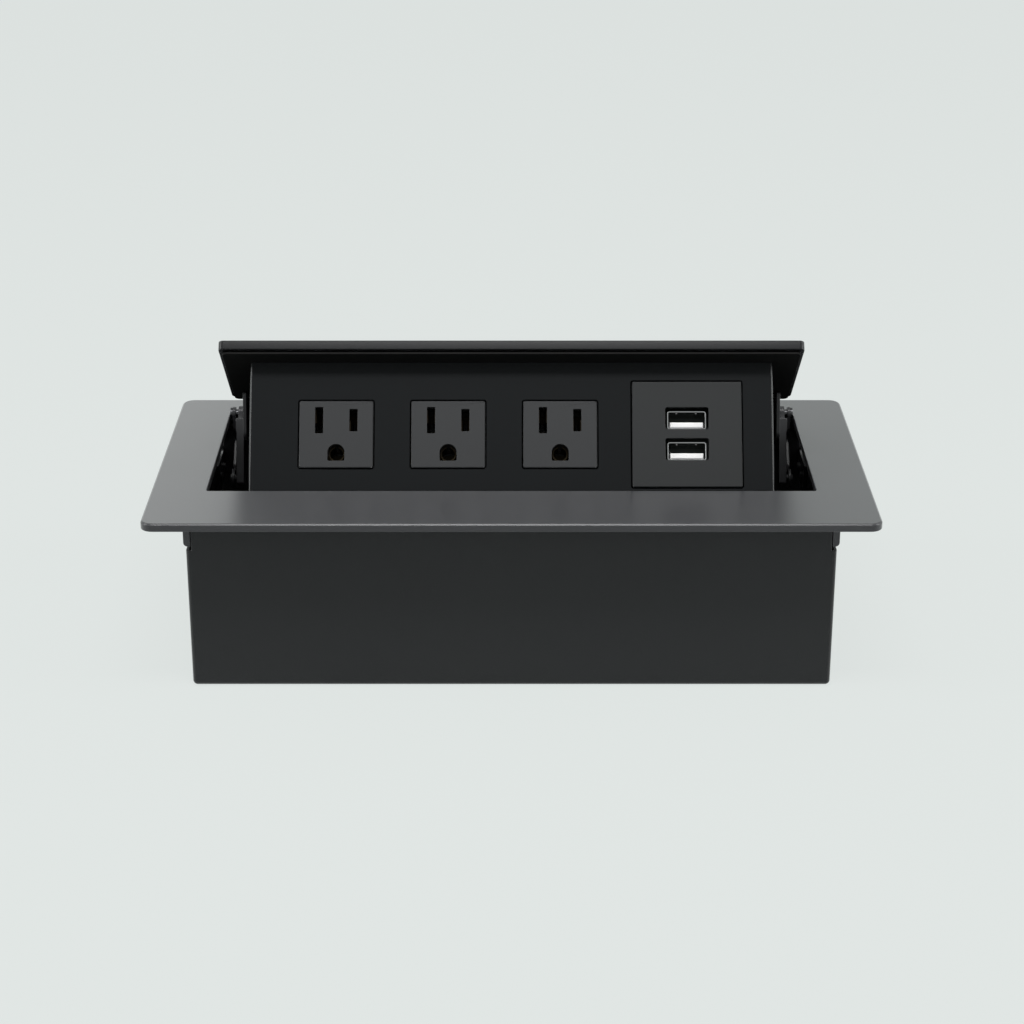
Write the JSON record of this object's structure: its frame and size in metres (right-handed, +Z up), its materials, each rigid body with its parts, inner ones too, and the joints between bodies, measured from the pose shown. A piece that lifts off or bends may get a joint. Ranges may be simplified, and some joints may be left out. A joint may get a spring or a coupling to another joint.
{
  "type": "desktop power module",
  "caption": "Table-top insert with a rectangular surface frame, a box below it and a sprung tilt-up lid whose front panel holds mains outlets and charging ports.",
  "frame": {"origin": "middle of the underside of the box, with Y = 0 on the middle line of the surface frame", "axes": "+X along the frame to the right as seen by the user, +Y towards the hinge at the back, +Z up"},
  "size_m": [0.265, 0.1304, 0.1212],
  "materials": {
    "frame_paint": "satin",
    "box_paint": "matt",
    "lid_paint": "satin",
    "panel_black": "matt",
    "outlet_grey": "matt",
    "charger_grey": "matt",
    "port_steel": "satin",
    "tongue_white": "matt",
    "contact_brass": "satin",
    "insulator": "matt",
    "board": "satin",
    "black_rubber": "matt",
    "hinge_steel": "satin",
    "bright_steel": "satin",
    "screw_steel": "satin",
    "latch_plastic": "satin"
  },
  "bodies": {
    "housing": {"frame": "frame_paint", "box_shell": "box_paint", "frame_screws": "screw_steel", "clamp_nuts": "screw_steel", "hinge_bracket_left": "hinge_steel", "hinge_bracket_right": "hinge_steel", "bracket_screws": "screw_steel", "torsion_spring_left": "bright_steel", "torsion_spring_right": "bright_steel", "cord_grommet": "black_rubber", "latch_body": "latch_plastic", "latch_spring": "bright_steel", "latch_screws": "screw_steel"},
    "cartridge": {"lid_plate": "lid_paint", "lid_liner": "lid_paint", "lid_screws": "screw_steel", "front_panel": "panel_black", "cartridge_shell": "panel_black", "end_cap_left": "panel_black", "end_cap_right": "panel_black", "hinge_gusset_left": "hinge_steel", "hinge_gusset_right": "hinge_steel", "hinge_arm_left": "hinge_steel", "hinge_arm_right": "hinge_steel", "hinge_pin_left": "bright_steel", "hinge_pin_right": "bright_steel", "arm_rivets": "bright_steel", "outlet_1": "outlet_grey", "outlet_2": "outlet_grey", "outlet_3": "outlet_grey", "neutral_strip": "contact_brass", "line_strip": "contact_brass", "ground_strip": "contact_brass", "contact_carrier": "insulator", "terminal_block": "insulator", "charger_plate": "charger_grey", "charger_case": "charger_grey", "charger_board": "board", "upper_port_shell": "port_steel", "lower_port_shell": "port_steel", "upper_port_tongue": "tongue_white", "lower_port_tongue": "tongue_white", "port_pins": "contact_brass", "cord_bush": "black_rubber", "latch_keeper": "bright_steel"},
    "plunger": {"latch_plunger": "latch_plastic", "latch_magnet": "bright_steel"}
  },
  "joints": [
    {"name": "cartridge_tilt", "type": "hinge", "parent": "housing", "child": "cartridge", "pos_m": [0, 0.0461, 0.0722], "axis": [1, 0, 0], "range_deg": [0, 40.4], "stiffness_Nm_per_rad": 0.15, "springref_deg": -114.59, "deforming": ["torsion_spring_left", "torsion_spring_right"]},
    {"name": "latch_press", "type": "slide", "parent": "housing", "child": "plunger", "axis": [0, 0, 1], "range_m": [-0.0026, 0], "stiffness_N_per_m": 300, "springref_m": 0.002, "deforming": ["latch_spring"]}
  ]
}
